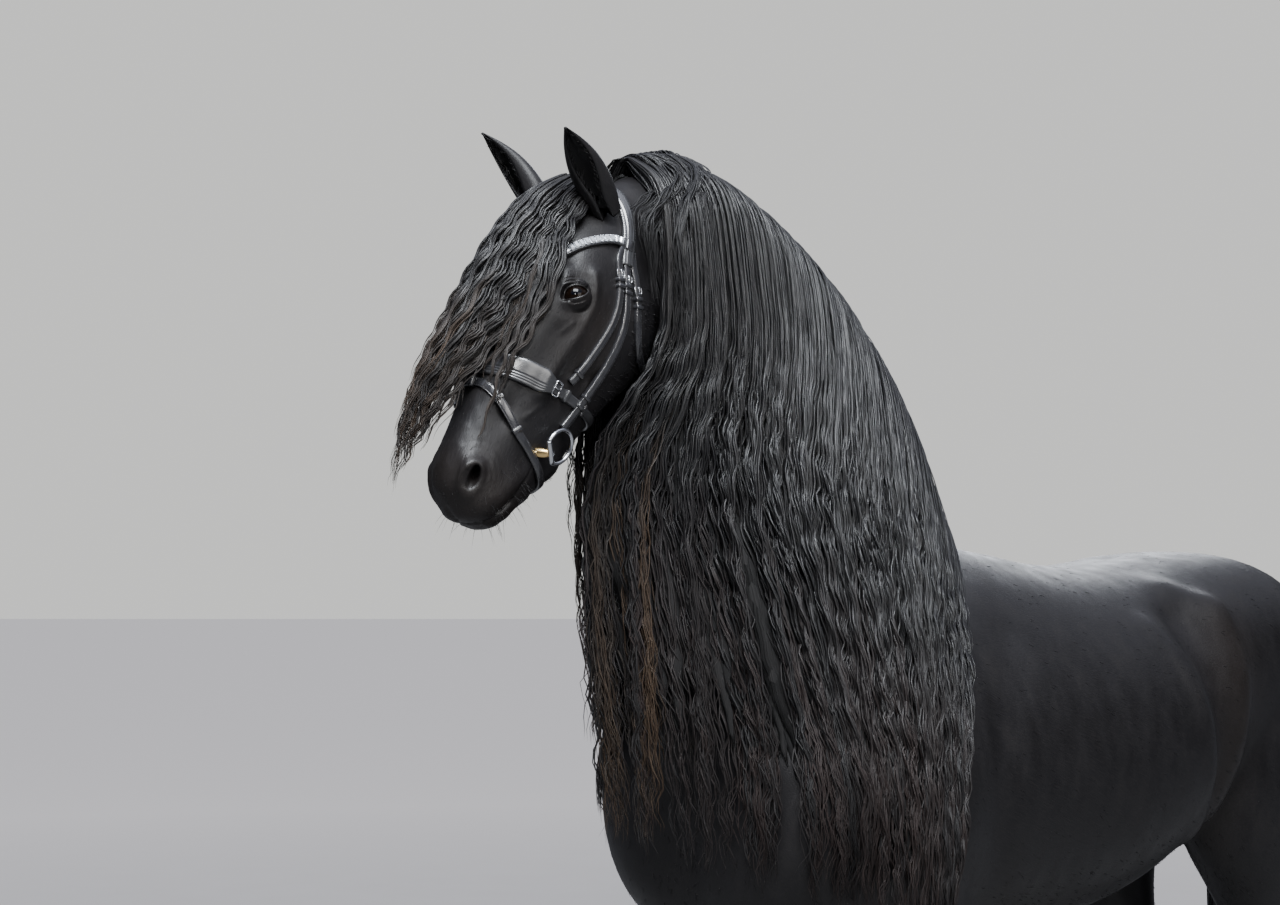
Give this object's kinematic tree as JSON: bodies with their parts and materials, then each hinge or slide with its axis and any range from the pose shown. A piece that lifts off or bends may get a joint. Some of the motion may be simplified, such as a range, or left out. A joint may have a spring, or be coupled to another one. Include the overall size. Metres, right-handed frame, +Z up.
{
  "type": "standing Friesian horse in a dress bridle",
  "caption": "Life-size black Friesian horse standing still, with long mane, forelock, tail and leg feathering, in a dress bridle with a jewelled browband and no reins.",
  "frame": {"origin": "centre of the outline's footprint, on the floor under the hooves", "axes": "+Z up, -Y the way the horse faces, +X its left side"},
  "size_m": [0.69, 2.5188, 2.2825],
  "materials": {
    "coat": "short flat black coat with a soft blue-grey sheen",
    "hair": "long wavy black hair, browner towards the tips",
    "horn": "dark ringed hoof horn, dull",
    "eye": "wet dark brown eye",
    "leather": "polished black leather",
    "crystal": "row of clear cut beads on a black band",
    "steel": "polished steel"
  },
  "bodies": {
    "root": {"eye_left": "eye", "eye_right": "eye", "ear_left": "coat", "ear_right": "coat", "head": "coat", "neck": "coat", "trunk": "coat", "hoof_fore_left": "horn", "foreleg_left": "coat", "hoof_fore_right": "horn", "foreleg_right": "coat", "hoof_hind_left": "horn", "hindleg_left": "coat", "hoof_hind_right": "horn", "hindleg_right": "coat", "feather_fore_left": "hair", "feather_fore_right": "hair", "feather_hind_left": "hair", "feather_hind_right": "hair", "tail": "hair", "bit_ring_left": "steel", "bit_ring_right": "steel", "noseband": "leather", "flash_strap": "leather", "cheekpiece_left": "leather", "noseband_hanger_left": "leather", "throatlash_left": "leather", "crown_left": "leather", "cheekpiece_right": "leather", "noseband_hanger_right": "leather", "throatlash_right": "leather", "crown_right": "leather", "browband": "crystal", "mane_near": "hair", "mane_off": "hair", "forelock": "hair"}
  },
  "joints": []
}
